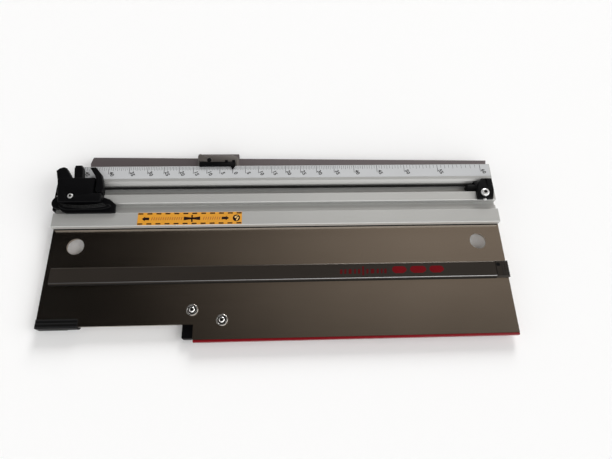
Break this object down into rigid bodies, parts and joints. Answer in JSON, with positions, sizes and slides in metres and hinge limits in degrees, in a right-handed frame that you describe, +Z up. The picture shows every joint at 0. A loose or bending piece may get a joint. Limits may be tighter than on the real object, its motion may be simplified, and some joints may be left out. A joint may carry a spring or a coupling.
{
  "type": "cross-cut guide rail",
  "caption": "Guide rail for angled cross cuts in tiles and panels: notched bed with saw rib, spring-returned carriage on an elastic cord, angle scale and sliding rear stop.",
  "frame": {"origin": "under the middle of the guide rib's centre line, on the underside of the front grip strip, which is the plane that lies on the work", "axes": "+X along the rail from the parked carriage to the cord's end block, +Y from the notched edge to the rear stop, +Z up out of the work"},
  "size_m": [0.5445, 0.2387, 0.03],
  "materials": {
    "bed_steel": "long brushed grain along the rail",
    "aluminium": "satin anodised, drawn along the rail",
    "dark_aluminium": "dark anodised, satin",
    "black_plastic": "fine moulded texture",
    "red_plastic": "smooth, slightly glossy",
    "grip_rubber": "soft foam rubber",
    "bright_steel": "turned, bright",
    "dark_steel": "blackened",
    "strip_steel": "cold rolled, dull",
    "scale_foil": "printed satin foil",
    "label_foil": "printed foil",
    "cord_cover": "braided cover",
    "nylon": "self-lubricating, smooth",
    "bush_brass": "machined",
    "cast_metal": "satin grey-brown paint"
  },
  "bodies": {
    "rail": {"bed_plate": "bed_steel", "rail_extrusion": "aluminium", "guide_rib": "dark_aluminium", "rib_cap": "black_plastic", "rib_cap_screw": "dark_steel", "rib_screws": "dark_steel", "bed_screws": "dark_steel", "splinter_guard": "red_plastic", "front_grip_strip": "grip_rubber", "rear_grip_strip": "grip_rubber", "corner_foot": "black_plastic", "front_stop_block": "black_plastic", "front_stop_bush": "bright_steel", "cup_washers": "bright_steel", "stop_screws": "bright_steel", "stop_nuts": "bright_steel", "rear_guide_strip": "strip_steel", "flange_rivets": "dark_steel", "angle_scale": "scale_foil", "park_label": "label_foil", "left_end_cap": "black_plastic", "pulley_axle": "bright_steel", "end_block": "black_plastic", "block_screw": "bright_steel", "block_nut": "dark_steel", "block_set_screw": "bright_steel", "cord_ferrule": "bright_steel", "cord_fixed_strand": "cord_cover", "cord_return_strand": "cord_cover"},
    "pulley": {"pulley": "nylon", "pulley_bush": "bush_brass"},
    "carriage": {"carriage_body": "black_plastic", "carriage_shoe": "black_plastic", "shoe_screws": "dark_steel", "carriage_key": "nylon", "cord_knot": "bright_steel", "glide_pads": "nylon", "body_screw": "dark_steel", "latch_pin": "bright_steel", "latch_spring": "bright_steel"},
    "latch_lever": {"latch_lever": "black_plastic", "latch_bush": "bush_brass"},
    "rear_stop": {"slider_body": "cast_metal", "rear_stop_arm": "strip_steel", "rear_stop_bush": "bright_steel", "rear_stop_rivet": "bright_steel", "pointer": "black_plastic", "arm_screws": "dark_steel", "clamp_pad": "nylon"},
    "clamp_lever": {"clamp_lever": "cast_metal", "clamp_screw": "dark_steel"}
  },
  "joints": [
    {"name": "carriage_slide", "type": "slide", "parent": "rail", "child": "carriage", "axis": [1, 0, 0], "range_m": [0, 0.425], "stiffness_N_per_m": 13, "springref_m": -0.1, "deforming": ["cord_return_strand"]},
    {"name": "pulley_spin", "type": "hinge", "parent": "rail", "child": "pulley", "pos_m": [-0.258, 0.1048, 0.0084], "axis": [0, 0, 1], "range_deg": [0, 2300]},
    {"name": "latch_lever_press", "type": "hinge", "parent": "carriage", "child": "latch_lever", "pos_m": [-0.217, 0.104, 0.0206], "axis": [0, 0, -1], "range_deg": [0, 12], "stiffness_Nm_per_rad": 0.02, "springref_deg": -17.19},
    {"name": "rear_stop_slide", "type": "slide", "parent": "rail", "child": "rear_stop", "axis": [1, 0, 0], "range_m": [-0.1053, 0.3159]},
    {"name": "clamp_lever_turn", "type": "hinge", "parent": "rear_stop", "child": "clamp_lever", "pos_m": [-0.0886, 0.1485, 0.0135], "axis": [0, 0, -1], "range_deg": [0, 70]}
  ],
  "couplings": [
    {"joint": "pulley_spin", "follows": "carriage_slide", "rad_per_m": 90.7}
  ]
}
